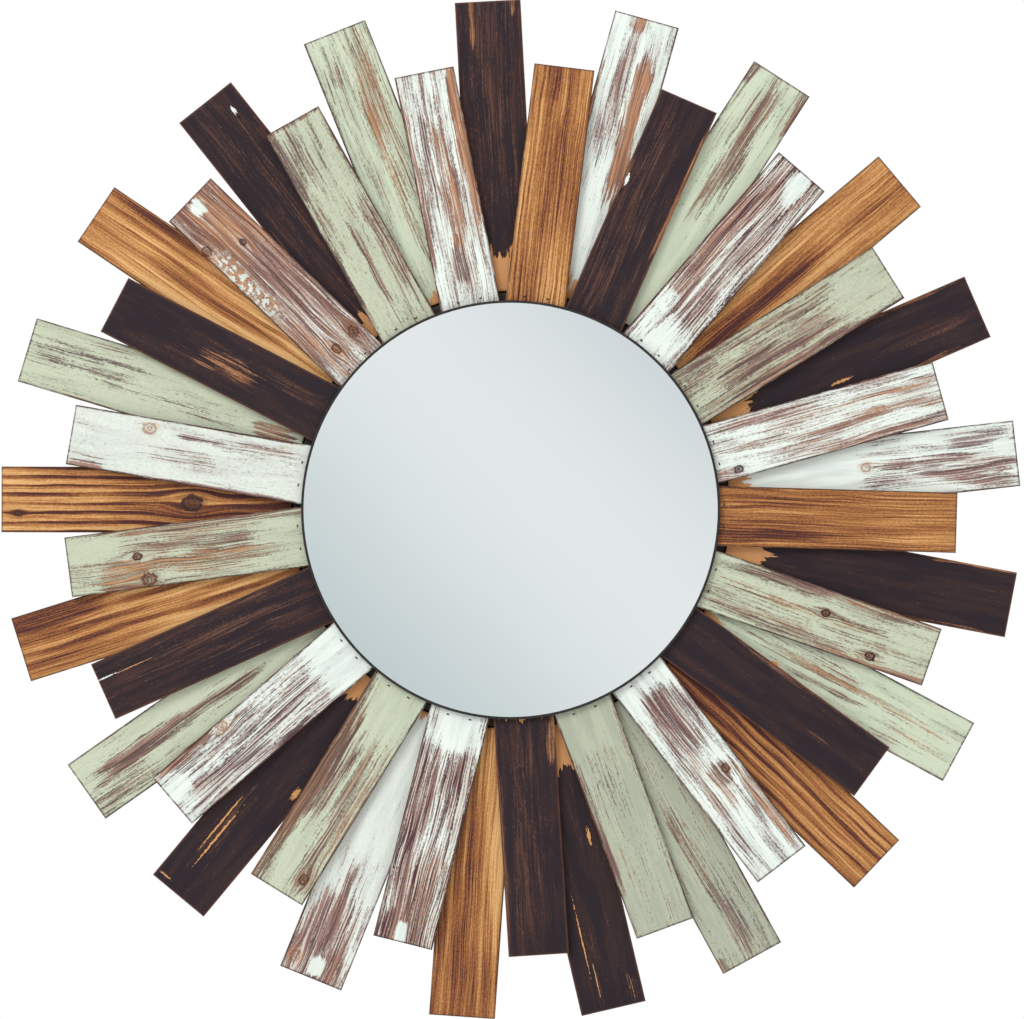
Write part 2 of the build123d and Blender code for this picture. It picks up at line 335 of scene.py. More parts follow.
# What each plank looks like, in millimetres from its middle line and from its tip.
# Across is positive on the clockwise side. A streak is across, half width, from, to, amount and tone:
# the amount is how much more of the paint is gone, and a negative one is a place where it stayed whole.
plankLooks = {
    "short_plank_01": dict(
        finish="white", wear=0.12, lines=0.7, haze=1.1,
        streaks=[(20, 4, -6, 118, 0.85, "tan"), (1, 5, 45, 132, 0.34, "tan"), (-9, 3, 30, 112, 0.26, "purple"),
                 (-1, 5, 139, 166, 0.42, "grey"), (-22, 2.5, 20, 150, 0.45, "brown"),
                 (9, 3, 60, 150, 0.2, "brown"),
                 (0, 4, 129, 141, 0.55, "tan")],
        knots=[],
    ),
    "short_plank_02": dict(finish="torched", tip=0.46, root=0.44, ringPitch=3.4, ringDepth=0.25,
                           stripes=[(4, 11, 40, 135, 0.14), (-8, 9, -6, 26, 0.12)], knots=[]),
    "short_plank_03": dict(
        finish="dark", wear=0.0, lines=0.9,
        streaks=[(-9, 12, 20, 176, 0.22, "brown"), (22.5, 1.6, 20, 120, 0.6, "tan"),
                 (-22, 1.6, 60, 90, 0.4, "brown")],
        knots=[], chips=[(-20, 76, 1.3, 4.6, "white"), (-20.6, 86, 0.8, 3.0, "black")],
    ),
    "short_plank_04": dict(
        finish="white", wear=0.24, lines=1.2, haze=1.3,
        streaks=[(-16, 9, 0, 150, 0.22, "brown"), (4, 12, 30, 150, 0.10, "purple"), (5, 7, 0, 28, -0.42, "white"),
                 (-14, 8, 136, 154, -0.3, "white"), (4, 20, 152, 190, -0.2, "white")],
        knots=[],
    ),
    "short_plank_05": dict(
        finish="mint", wear=0.10, lines=0.9, haze=1.0, dull=0.3,
        streaks=[(5, 13, 56, 150, 0.34, "purple"), (-17, 7, 46, 158, 0.14, "brown"),
                 (21, 4, 30, 140, 0.42, "brown"),
                 (0, 4, 70, 110, -0.2, "mint"), (-4, 14, 0, 46, -0.2, "mint")],
        knots=[],
    ),
    "short_plank_06": dict(
        finish="white", wear=0.16, lines=0.6, haze=1.3,
        streaks=[(-7, 9, 20, 150, 0.10, "tan"), (5, 3, 0, 120, 0.16, "tan"), (21, 4, 0, 90, 0.34, "brown"),
                 (-18, 5, 100, 186, 0.16, "purple")],
        knots=[(17, 169, 3.0, "purple")],
    ),
    "short_plank_07": dict(finish="torched", tip=0.51, root=0.53, ringPitch=2.7, ringDepth=0.18,
                           stripes=[(15, 8, 104, 190, 0.14)], knots=[]),
    "short_plank_08": dict(
        finish="mint", wear=0.06, lines=0.7, haze=0.9, dull=0.22,
        streaks=[(-20, 4, 88, 160, 0.42, "purple"), (-22, 3, 0, 96, 0.34, "brown"), (-3, 4, 30, 160, 0.24, "tan"),
                 (13, 9, 60, 156, 0.22, "brown"), (21, 3, 0, 60, 0.3, "brown"), (14, 8, 36, 56, 0.2, "brown")],
        knots=[(-5, 90, 2.7, "burnt"), (15.5, 46, 3.2, "burnt")],
    ),
    "short_plank_09": dict(
        finish="dark", wear=-0.12, lines=0.25,
        streaks=[(-22, 1.8, 20, 150, 0.4, "brown"), (4, 2, 40, 60, 0.4, "brown")],
        knots=[],
    ),
    "short_plank_10": dict(
        finish="white", wear=0.07, lines=0.9, haze=0.9,
        streaks=[(-3, 16, 112, 168, 0.36, "purple"), (-18, 6, 8, 80, 0.26, "tan"), (-8, 9, 76, 94, 0.34, "rust"),
                 (6, 12, 56, 114, 0.14, "tan"), (2, 20, 168, 190, -0.1, "white")],
        knots=[(-11, 87, 3.0, "rust")],
    ),
    "short_plank_11": dict(
        finish="mintGrey", wear=0.02, lines=0.3,
        streaks=[(22, 2.5, 46, 150, 0.5, "brown"), (2, 10, 90, 130, 0.06, "grey"),
                 (0, 18, 150, 190, -0.2, "mint")],
        knots=[],
    ),
    "short_plank_12": dict(
        finish="dark", wear=-0.04, lines=0.8, bare=2,
        streaks=[(2, 9, 20, 186, 0.22, "brown"), (-21, 3, 150, 186, 0.5, "tan"),
                 (22.5, 1.4, 10, 186, 0.4, "brown")],
        knots=[],
    ),
    "short_plank_13": dict(
        finish="white", wear=0.20, lines=1.25, haze=1.1,
        streaks=[(-12, 14, -6, 70, 0.28, "rust"), (12, 10, 16, 160, 0.30, "purple"),
                 (-12, 9, 66, 150, 0.16, "purple"),
                 (12, 12, -4, 24, 0.3, "brown"), (3, 4, 0, 16, -0.9, "white"), (0, 24, 156, 190, -0.32, "white")],
        knots=[],
    ),
    "short_plank_14": dict(
        finish="mint", wear=0.05, lines=0.8, haze=0.8, dull=0.15,
        streaks=[(-13, 11, 30, 132, 0.28, "brown"), (12, 9, 66, 140, 0.40, "purple"),
                 (21, 6, 0, 176, 0.80, "rust"),
                 (-16, 7, 8, 30, 0.3, "brown"), (2, 4, 0, 70, -0.25, "mint"), (0, 22, 146, 190, -0.3, "mint")],
        knots=[(-14, 18, 3.4, "rust")],
    ),
    "short_plank_15": dict(
        finish="white", wear=0.13, lines=1.1, haze=0.8,
        streaks=[(-9, 14, 16, 122, 0.13, "purple"), (22, 3, 6, 60, 0.6, "tan"), (-22, 2, 90, 160, 0.4, "black"),
                 (4, 10, 0, 20, -0.3, "white"), (-6, 12, 96, 150, 0.12, "purple"),
                 (0, 24, 150, 190, -0.24, "white")],
        knots=[(19, 68, 3.6, "faint")],
    ),
    "short_plank_16": dict(
        finish="dark", wear=0.0, lines=0.7,
        streaks=[(2, 18, 10, 180, 0.12, "brown")],
        knots=[], chips=[(9.5, 6, 0.5, 8.0, "white"), (9.0, 30, 0.35, 16.0, "tan")],
    ),
    "short_plank_17": dict(
        finish="mint", wear=0.07, lines=0.6, haze=1.0, dull=0.25,
        streaks=[(-12, 11, 26, 60, 0.36, "tan"), (-8, 8, 60, 158, 0.34, "tan"), (8, 8, 50, 150, 0.26, "brown"),
                 (21, 3, 30, 184, 0.32, "brown"), (2, 20, 142, 190, -0.12, "mint"), (12, 8, 0, 40, -0.2, "mint")],
        knots=[(1.5, 55, 3.0, "burnt"), (-17.5, 62, 5.0, "rust")],
    ),
    "short_plank_18": dict(
        finish="white", wear=-0.05, lines=0.25, dull=0.45,
        streaks=[(-21, 4, 0, 26, 0.5, "brown"), (13, 2, 84, 118, 0.44, "purple"), (-4, 7, 60, 112, 0.16, "brown"),
                 (22.5, 1.6, 20, 170, 0.4, "black"), (-22.5, 1.6, 60, 180, 0.4, "purple"),
                 (10, 8, 120, 180, 0.12, "purple")],
        knots=[(15, 60, 4.4, "faint")],
    ),
    "short_plank_19": dict(
        finish="dark", wear=-0.08, lines=0.4,
        streaks=[(-3, 8, 76, 126, 0.50, "tan"), (-8, 4, 50, 90, 0.24, "brown"), (4, 8, 130, 176, 0.2, "brown")],
        knots=[],
    ),
    "short_plank_20": dict(
        finish="white", wear=0.36, lines=0.8, haze=1.3,
        streaks=[(0, 30, -10, 104, 0.34, "tan"), (0, 30, 96, 186, 0.14, "tan"), (1, 4, 2, 16, -0.9, "white"),
                 (4, 18, 60, 150, 0.0, "purple"),
                 (0, 24, 172, 190, -0.1, "white")],
        knots=[(-20, 38, 3.6, "rust"), (5, 53, 2.4, "purple"), (-4, 164, 3.4, "rust"), (15, 164, 3.7, "rust")],
        flakes=(-17, 6, 50, 112),
    ),
    "short_plank_21": dict(
        finish="mint", wear=0.03, lines=0.8, haze=0.8, dull=0.3,
        streaks=[(-14, 9, 8, 52, 0.26, "grey"), (18, 5, 80, 156, 0.46, "purple"),
                 (-22.5, 2, 90, 156, 0.5, "black"),
                 (-1, 3, 92, 164, 0.26, "brown"), (0, 24, -3, 3, 0.4, "brown"), (-22, 2, 0, 60, 0.4, "brown")],
        knots=[],
    ),
    "long_plank_01": dict(
        finish="dark", wear=0.0, lines=0.9, bare=30,
        streaks=[(0, 22, 4, 150, 0.13, "brown"), (-14, 2, -4, 34, 0.5, "tan"), (20, 2, -4, 12, 0.5, "tan")],
        knots=[],
    ),
    "long_plank_02": dict(
        finish="white", wear=0.0, lines=0.4, haze=1.0, bare=12,
        streaks=[(9, 5.5, 34, 142, 0.95, "tan"), (-8, 8, 18, 112, 0.28, "purple"), (-4, 6, -4, 12, 0.5, "tan"),
                 (-24.5, 2, 50, 200, 0.5, "tan"), (22, 3, 0, 22, 0.1, "purple")],
        knots=[],
    ),
    "long_plank_03": dict(
        finish="mint", wear=0.0, lines=0.6,
        streaks=[(0, 7, 2, 128, 0.42, "brown"), (-23, 4, -4, 18, 0.5, "brown"), (24, 3, -4, 36, 0.45, "brown"),
                 (10, 3, 60, 110, 0.2, "purple"), (0, 20, 132, 228, -0.2, "mint")],
        knots=[],
    ),
    "long_plank_04": dict(
        finish="torched", tip=0.41, root=0.26, ringPitch=6.2, ringDepth=0.12, goldEdge=0.12,
        stripes=[(1, 9, 86, 226, 0.40), (1, 6, 100, 205, 0.16), (4, 7, -10, 60, 0.16),
                 (-16, 5, 20, 130, 0.10)], knots=[],
    ),
    "long_plank_05": dict(
        finish="dark", wear=-0.10, lines=0.35, bare=36,
        streaks=[(-25, 1.5, 20, 110, 0.7, "tan"), (25, 1.5, 30, 120, 0.6, "tan"), (4, 7, 10, 80, 0.12, "brown")],
        knots=[], chips=[(11, 122, 1.1, 8.0, "raw")],
    ),
    "long_plank_06": dict(
        finish="white", wear=0.03, lines=0.6, haze=1.0, bare=16,
        streaks=[(8, 5, 0, 78, 0.48, "purple"), (-1, 4, 34, 108, 0.38, "purple"), (18, 4, 0, 50, 0.30, "purple"),
                 (-14, 9, 4, 50, 0.16, "grey"), (2, 16, 84, 124, 0.16, "purple"),
                 (-7, 4, 3, 17, -0.9, "white"), (0, 30, 126, 240, -0.4, "white")],
        knots=[(-2, 119, 3.2, "faint")],
    ),
    "long_plank_07": dict(
        finish="dark", wear=-0.16, lines=0.2, bare=30,
        streaks=[(-25.5, 1.2, 0, 70, 0.6, "tan"), (25.5, 1.2, 20, 100, 0.5, "tan")],
        knots=[],
    ),
    "long_plank_08": dict(
        finish="mint", wear=-0.02, lines=0.5, bare=12,
        streaks=[(-4, 3, 20, 180, 0.34, "tan"), (-10, 3, 96, 172, 0.24, "brown"), (6, 2, 84, 150, 0.28, "purple"),
                 (8, 10, 10, 60, 0.08, "tan")],
        knots=[], chips=[(7, 160, 1.0, 4.0, "raw")],
    ),
    "long_plank_09": dict(
        finish="torched", tip=0.40, root=0.56, ringPitch=7.6, ringDepth=0.60, ringSharp=1.7,
        stripes=[(-2, 12, 110, 228, 0.12), (23, 3, -10, 60, 0.2)], knots=[],
    ),
    "long_plank_10": dict(
        finish="mintGrey", wear=0.05, lines=0.6,
        streaks=[(2, 6, 10, 130, 0.16, "brown"), (-8, 12, 0, 80, 0.10, "grey"), (24, 3, 0, 12, 0.6, "brown"),
                 (14, 6, 20, 150, -0.2, "mint")],
        knots=[],
    ),
    "long_plank_11": dict(
        finish="dark", wear=-0.10, lines=0.4, bare=34,
        streaks=[(6, 6, 4, 70, 0.18, "brown"), (-18, 4, 2, 24, 0.4, "tan")],
        knots=[], chips=[(12, 60, 0.5, 26.0, "raw"), (-12, 136, 1.3, 7.0, "raw"), (8, 24, 0.4, 14.0, "tan")],
    ),
    "long_plank_12": dict(
        finish="torched", tip=0.60, root=0.16, ringPitch=9.5, ringDepth=0.30, goldEdge=0.10,
        stripes=[(6, 12, 40, 200, 0.14), (-19, 6, 60, 228, -0.22), (0, 2.5, 20, 200, 0.12)], knots=[],
    ),
    "long_plank_13": dict(
        finish="white", wear=-0.02, lines=0.8, haze=1.1, dull=0.25, bare=8,
        streaks=[(4, 24, -10, 66, 0.44, "purple"), (2, 5, 24, 96, 0.30, "purple"), (-14, 10, -6, 26, 0.24, "tan"),
                 (0, 5, 3, 18, -0.8, "white"), (0, 22, 112, 228, -0.25, "white")],
        knots=[(18, 12, 3.8, "faint")],
    ),
    "long_plank_14": dict(
        finish="dark", wear=-0.08, lines=0.4, bare=24,
        streaks=[(8, 8, 20, 110, 0.16, "brown")],
        knots=[],
        chips=[(6, 56, 0.8, 26.0, "raw"), (11, 66, 0.7, 24.0, "raw"), (-20, 120, 2.2, 5.0, "raw"),
               (18, 6, 5.0, 0.8, "tan")],
    ),
    "long_plank_15": dict(
        finish="mint", wear=0.0, lines=0.8, haze=0.8, dull=0.15,
        streaks=[(2, 5, 16, 152, 0.52, "purple"), (8, 4, 24, 96, 0.46, "purple"),
                 (-15, 10, -4, 54, 0.24, "purple"),
                 (16, 8, 40, 120, -0.1, "mint"), (6, 10, 172, 228, -0.3, "mint")],
        knots=[],
    ),
    "long_plank_16": dict(
        finish="torched", tip=0.41, root=-0.06, ringPitch=8.2, ringDepth=0.34,
        stripes=[(17, 11, -14, 74, 0.42), (4, 2.6, 50, 205, 0.34), (-5, 2.4, 50, 190, 0.30),
                 (-14, 3, -10, 110, 0.22),
                 (12, 2.2, 80, 160, 0.2)],
        knots=[],
    ),
    "long_plank_17": dict(
        finish="torched", tip=0.14, root=0.66, ringPitch=7.2, ringDepth=0.78, ringSharp=2.2,
        stripes=[(0, 16, 84, 150, 0.12), (20, 4, -10, 60, 0.25)],
        knots=[(-2.7, 150, 6.4, "char"), (-11, 13, 2.4, "char")],
    ),
    "long_plank_18": dict(
        finish="mint", wear=-0.04, lines=0.6, dull=0.2,
        streaks=[(4, 12, 0, 90, 0.14, "grey"), (-8, 3, 60, 170, 0.18, "grey"), (-6, 5, 190, 220, 0.6, "brown")],
        knots=[],
    ),
    "long_plank_19": dict(
        finish="torched", tip=0.37, root=-0.24, ringPitch=8.8, ringDepth=0.40,
        stripes=[(-2, 10, 60, 176, 0.40), (18, 5, 10, 112, 0.36), (23, 3, -10, 60, 0.2)], knots=[],
    ),
    "long_plank_20": dict(
        finish="dark", wear=-0.02, lines=0.9, bare=18,
        streaks=[(0, 20, 6, 150, 0.10, "brown"), (24.5, 1.8, 70, 190, 0.7, "tan")],
        knots=[], chips=[(14, 19, 1.4, 3.6, "white"), (14, 25, 0.7, 4.0, "black"), (2, 188, 2.6, 3.0, "raw")],
    ),
    "long_plank_21": dict(
        finish="mint", wear=0.02, lines=0.5, bare=8,
        streaks=[(2, 4, 0, 186, 0.22, "tan"), (12, 6, 0, 136, 0.26, "tan"), (-13, 4, 8, 40, 0.14, "brown"),
                 (22, 3, 0, 60, 0.2, "brown")],
        knots=[],
    ),
}


def lieOf(node):  # where a plank lies, read off its solid: bearing, middle line, ends, width and depths
    mesh = nodes[node].data
    spots = np.empty(len(mesh.vertices) * 3)
    mesh.vertices.foreach_get("co", spots)
    spots = spots.reshape(-1, 3)
    flat = spots[:, [0, 2]]
    middle = (flat.max(0) + flat.min(0)) / 2
    around = math.atan2(middle[0], middle[1])
    best = None
    for turn in np.arange(-0.08, 0.08, 0.0005):
        bearing = around + turn
        side = flat @ np.array([math.cos(bearing), -math.sin(bearing)])
        spread = side.max() - side.min()
        if best is None or spread < best[0]:
            best = (spread, bearing, (side.max() + side.min()) / 2)
    width, bearing, offset = best
    out = np.array([math.sin(bearing), math.cos(bearing)])
    along = flat @ out
    return dict(
        bearing=bearing, offset=offset, width=width, root=along.min(), tip=along.max(),
        front=spots[:, 1].min(), back=spots[:, 1].max(),
    )


# Wood and paint, in a plank's own millimetres
paintLook = {
    "brushPitch": 0.94,  # brushed streaks to the millimetre across the plank
    "brushRun": 0.011,  # and along it
    "patchPitch": 0.13,
    "patchRun": 0.016,
    "speckPitch": 0.95,
    "speckRun": 0.42,
    "linePitch": 0.34,  # grain lines
    "lineRun": 0.006,
    "lineHalf": 0.054,
    "edgeWear": 1.35,
    "brush": 5.2,  # how much each pattern moves the worn edge of the paint
    "patch": 1.5,
    "speck": 1.5,
    "streak": 1.34,  # and how strongly a streak does
    "sound": 0.3,  # how firmly sound paint hides the wood
    "edgeStrength": 0.30,
    "fibrePitch": 0.66,  # grain of the bared wood
    "fibreRun": 0.012,
    "deepGrain": 0.85,
    "stain": 0.85,
    "coatStep": 0.35,  # how far the coat stands above the bare wood
    "chipRagged": 2.6,
    "bareRagged": 44.0,  # millimetres over which a bare inner end is ragged
    "flank": 0.8,
    "shine": 0.14,
    "bumpDepth": 0.6,
}


class PlankFinish(Finish):
    def __init__(self, node, lie, seed):
        super().__init__(node + "_finish")
        self.half = lie["width"] / 2 / mm
        self.length = (lie["tip"] - lie["root"]) / mm
        turned = lie["bearing"]
        tipSpot = (
            lie["tip"] * math.sin(turned) + lie["offset"] * math.cos(turned), lie["front"],
            lie["tip"] * math.cos(turned) - lie["offset"] * math.sin(turned),
        )
        sockets = {"Vector": self.objectPlace(), "Location": tipSpot, "Rotation": (0, turned, 0), "Scale": (mm, mm, mm)}
        own = self.node("ShaderNodeMapping", {"vector_type": "TEXTURE"}, sockets)
        self.across, self.depth, outward = self.split(Wire(self, own.outputs[0]))
        self.inward = 0 - outward  # from the tip
        self.seed = seed * 17.3
        drift = self.noise(self.point(self.across * 0.03, self.inward * 0.010, self.seed), 1.0, 2.0) - 0.5
        self.grainAcross = self.across + drift * 8.0
        self.ragged = self.grain(0.42, 0.030, 4.0, 0.68, 2.0) - 0.5

    def grain(self, pitch, run, detail=4.0, roughness=0.6, shift=0.0):
        place = self.point(self.grainAcross * pitch, self.inward * run, self.seed + shift + self.depth * 0.05)
        return self.noise(place, 1.0, detail, roughness)

    def patch(self, across, half, start, end, ragged=3.6, soft=0.6):  # 1 inside a long soft patch
        side = (self.grainAcross - across) / half
        along = (self.inward - (start + end) / 2) / ((end - start) / 2)
        reach = (side * side + along * along * along * along) ** 0.5
        return self.rise(reach + self.ragged * ragged, 1.0 + soft, 1.0 - soft)

    def knotReach(self, across, inward, size):  # distance from a knot's heart, 1 at its rim
        side = (self.across - across) / size
        along = (self.inward - inward) / (size * 1.25)
        rough = self.noise(self.point(self.across * 0.4, self.inward * 0.4, self.seed), 1.0, 3.0) - 0.5
        return (side * side + along * along) ** 0.5 + rough * 1.1

    def bendRound(self, knots):  # the grain flows round each knot
        for across, inward, size, stain in knots:
            side = (self.across - across) / (size * 1.7)
            along = (self.inward - inward) / (size * 3.2)
            away = side * side + along * along
            self.grainAcross = self.grainAcross - (self.across - across) * (0.75 / (1.0 + away * away))

    def edges(self):  # how near the long edges and the tip, 1 at the arris
        side = self.rise(abs(self.across), self.half - paintLook["edgeWear"] * 1.5, self.half - 0.1)
        tip = self.rise(self.inward, paintLook["edgeWear"] * 1.3, 0.1)
        return self.most(side, tip)

    def flanks(self):  # 1 on the sawn sides, below the front face
        return self.rise(self.depth, 0.5, 1.2)


stainLook = {  # the pale wood and the deep grain in it, where a streak bared it
    "tan": ("tan", "rust"),
    "purple": ("plumPale", "plum"),
    "rust": ("rustPale", "burnt"),
    "black": ("black", "edge"),
    "grey": ("grey", "lineWhite"),
}

knotLook = {  # body, rim and their tones, by how dark the knot is
    "burnt": (0.80, "rust", 0.95, "black"),
    "rust": (0.60, "rust", 0.85, "burnt"),
    "purple": (0.60, "purple", 0.80, "black"),
    "tan": (0.45, "tan", 0.60, "burnt"),
    "grey": (0.35, "grey", 0.60, "burnt"),
    "faint": (0.12, "tan", 0.55, "rust"),
    "char": (0.88, "burnt", 0.80, "black"),
}


def drawKnots(finish, colour, height, knots):
    for across, inward, size, stain in knots:
        bodyAmount, bodyTone, rimAmount, rimTone = knotLook[stain]
        away = finish.knotReach(across, inward, size)
        halo = finish.rise(away, 2.3, 0.9) * finish.rise(finish.grain(0.8, 0.05, 3.0, 0.6, 51.0), 0.35, 0.6)
        colour = finish.blend(halo * 0.45, colour, tone(bodyTone))
        body = finish.rise(away, 1.1, 0.8)
        colour = finish.blend(body * bodyAmount, colour, tone(bodyTone))
        crack = finish.noise(finish.point(finish.across * 0.6, finish.inward * 0.6, finish.seed), 1.0, 3.0)
        ring = finish.rise(abs(away - 0.86), 0.32, 0.10) * finish.rise(crack, 0.20, 0.38)
        colour = finish.blend(ring * rimAmount, colour, tone(rimTone))
        heart = finish.rise(abs(away - 0.30), 0.20, 0.06) * finish.rise(crack, 0.42, 0.54)
        colour = finish.blend(heart * rimAmount, colour, tone("black"))
        height = height - ring * 0.4
    return colour, height


# A coat's tones, and how strongly wear, grain lines, dust and the dark rim show on it; the rim is partly burnt edge and
# partly painted shade along the plank edges
paleCoat = dict(thin=0.30, bared=0.84, lines=0.80, dust=0.75, dustTone="black", rim=1.0, rimTone="edge", grain="purple")
coatLook = {
    "white": dict(paleCoat, paint="white", shade="whiteCool", dirt="whiteDull", haze="hazeWhite", line="lineWhite"),
    "mint": dict(paleCoat, paint="mint", shade="mintPale", dirt="mintWorn", haze="hazeMint", line="lineMint"),
    "mintGrey": dict(paleCoat, paint="mintGrey", shade="mintDull", dirt="mintWorn", haze="hazeMint", line="lineMint"),
    "dark": dict(
        thin=0.25, bared=0.80, lines=0.50, dust=0.3, dustTone="brown", rim=0.5, rimTone="rust", grain="darkLine",
        paint="espresso", shade="espressoBrown", line="darkLine",
    ),
}


def wornAway(finish, look, brush, patchy, specks):  # wear, how far the paint has gone, and what streaks stained
    wear = finish.edges() * paintLook["edgeStrength"] + look["wear"]
    stained = {stain: 0.0 for stain in stainLook}
    for across, half, start, end, amount, stain in look["streaks"]:
        patch = finish.patch(across, half, start, end)
        wear = wear + patch * (amount * paintLook["streak"])
        if stain in stained:
            stained[stain] = patch + stained[stain]
    gone = (brush - 0.5) * paintLook["brush"] + (patchy - 0.5) * paintLook["patch"]
    gone = gone + (specks - 0.5) * paintLook["speck"] + wear - 0.5
    gone = gone - finish.rise(wear, 0.12, -0.06) * paintLook["sound"]
    return wear, gone, stained


def baredWood(finish, coat, fibre, stained):
    wood = finish.blend(finish.rise(fibre, 0.44, 0.57), tone("brown"), tone(coat["grain"]))
    for stain, mask in stained.items():
        if isinstance(mask, Wire):
            pale, deep = stainLook[stain]
            grained = finish.blend(finish.rise(fibre, 0.43, 0.56) * paintLook["deepGrain"], tone(pale), tone(deep))
            wood = finish.blend(finish.clamp(mask) * paintLook["stain"], wood, grained)
    return wood


def drawBareEnd(finish, colour, height, fibre, bare):  # the paint stops short of the inner end, in a ragged line
    fromRoot = finish.length - finish.inward
    jag = (finish.grain(0.22, 0.03, 3.0, 0.6, 21.0) - 0.5) * paintLook["bareRagged"]
    raw = finish.rise(fromRoot + jag, bare + 1.0, bare - 0.4)
    pine = finish.blend(finish.rise(fibre, 0.38, 0.62), tone("raw"), tone("tan"))
    return finish.blend(raw, colour, pine), height - raw * paintLook["coatStep"]


def drawChips(finish, colour, height, chips):  # paint knocked off in small ragged spots
    for across, inward, wide, long, stain in chips:
        side = (finish.across - across) / wide
        along = (finish.inward - inward) / long
        rough = finish.noise(finish.point(finish.across * 1.1, finish.inward * 0.4, finish.seed), 1.0, 3.0) - 0.5
        reach = (side * side + along * along) ** 0.5 + rough * paintLook["chipRagged"]
        chip = finish.rise(reach, 1.1, 0.85)
        colour = finish.blend(chip, colour, tone(stain))
        height = height - chip * paintLook["coatStep"]
    return colour, height


def drawFlakes(finish, colour, height, flakes):  # crackled paint that has lifted
    where = finish.patch(*flakes)
    lifted = finish.noise(finish.point(finish.across * 0.30, finish.inward * 0.20, finish.seed), 1.0, 4.0, 0.6)
    flake = finish.rise(lifted, 0.48, 0.51)
    edge = finish.rise(abs(lifted - 0.49), 0.030, 0.010)
    colour = finish.blend(where * (1.0 - flake) * 0.6, colour, tone("tan"))
    colour = finish.blend(where * flake * 0.8, colour, tone("white"))
    colour = finish.blend(where * edge * 0.8, colour, tone("burnt"))
    return colour, height + where * flake * 0.6


def paintedPlank(node, lie, look, seed):
    finish = PlankFinish(node, lie, seed)
    finish.bendRound(look["knots"])
    dark = look["finish"] == "dark"
    coat = coatLook[look["finish"]]
    brush = finish.grain(paintLook["brushPitch"], paintLook["brushRun"], 5.0, 0.76)
    patchy = finish.grain(paintLook["patchPitch"], paintLook["patchRun"], 3.0, 0.6, 5.0)
    wave = finish.grain(paintLook["linePitch"], paintLook["lineRun"], 2.0, 0.5, 11.0)
    specks = finish.noise(
        finish.point(finish.across * paintLook["speckPitch"], finish.inward * paintLook["speckRun"], finish.seed),
        1.0, 3.0, 0.65,
    )
    fibre = finish.grain(paintLook["fibrePitch"], paintLook["fibreRun"], 3.0, 0.68, 3.0)
    wear, gone, stained = wornAway(finish, look, brush, patchy, specks)
    bared = finish.rise(gone, -0.05, 0.07)  # through to the wood
    thin = finish.rise(gone, -0.42, 0.06)  # rubbed thin
    wood = baredWood(finish, coat, fibre, stained)
    if dark:
        strong = finish.rise(wear, 0.25, 0.55)
        wood = finish.blend(0.62 - strong * 0.5, wood, tone("espresso"))

    paint = finish.blend(finish.rise(patchy, 0.40, 0.62), tone(coat["paint"]), tone(coat["shade"]))
    if look.get("dull"):  # dirt rubbed into the paint, in soft specks
        dirt = (finish.rise(specks, 0.35, 0.62) * 0.8 + 0.6) * look["dull"]
        paint = finish.blend(dirt, paint, tone(coat["dirt"]))
    if not dark:  # a soft haze where the paint was wiped
        wiped = finish.rise((patchy - 0.5) * 2.6 + wear * 1.6 + finish.ragged * 1.6, 0.05, 1.1)
        wiped = wiped * (finish.rise(brush, 0.42, 0.57) * 0.5 + 0.5)  # the brush left white between
        paint = finish.blend(wiped * look.get("haze", 0.6), paint, tone(coat["haze"]))
    colour = finish.blend(thin * coat["thin"], paint, wood)
    colour = finish.blend(bared * coat["bared"], colour, wood)
    gate = finish.rise(wear + (patchy - 0.5) * 1.6 + (specks - 0.5) * 1.2, 0.0, 0.34)
    lines = finish.rise(abs(wave - 0.5), paintLook["lineHalf"], paintLook["lineHalf"] * 0.3) * gate * look["lines"]
    colour = finish.blend(lines * coat["lines"], colour, tone(coat["line"]))
    dust = finish.rise(specks, 0.665, 0.70) * (gate * 0.7 + 0.3)
    colour = finish.blend(dust * coat["dust"], colour, tone(coat["dustTone"]))
    height = (1.0 - bared) * paintLook["coatStep"] + brush * 0.4 - lines * 0.4

    colour, height = drawKnots(finish, colour, height, look["knots"])
    if look.get("bare"):
        colour, height = drawBareEnd(finish, colour, height, fibre, look["bare"])
    colour, height = drawChips(finish, colour, height, look.get("chips", []))
    if look.get("flakes"):
        colour, height = drawFlakes(finish, colour, height, look["flakes"])
    # the dark rim along the edges and tip: partly burnt, worn edge and partly painted shade, the thin dark outline
    # where the planks meet
    rim = finish.edges() * (finish.rise(finish.grain(0.6, 0.10, 3.0, 0.6, 41.0), 0.38, 0.54) * 0.55 + 0.45)
    colour = finish.blend(rim * coat["rim"], colour, tone(coat["rimTone"]))
    sawn = finish.blend(0.45, tone("burnt"), wood)
    colour = finish.blend(finish.flanks() * paintLook["flank"], colour, sawn)
    finish.set("Base Color", colour)
    finish.set("Roughness", finish.clamp(0.64 + bared * 0.16 - patchy * 0.12))
    finish.set("Specular IOR Level", paintLook["shine"])
    finish.bump(height, 0.6, paintLook["bumpDepth"] * mm)
    return finish.material


torchLook = {
    "fibrePitch": 1.1,
    "fibreRun": 0.012,
    "fibre": 2.1,  # how much each pattern moves the char
    "broad": 0.9,
    "speck": 0.7,
    "wander": 10.0,  # millimetres that the rings stray
    "flank": 0.7,
    "shine": 0.16,
    "bumpDepth": 0.5,
}


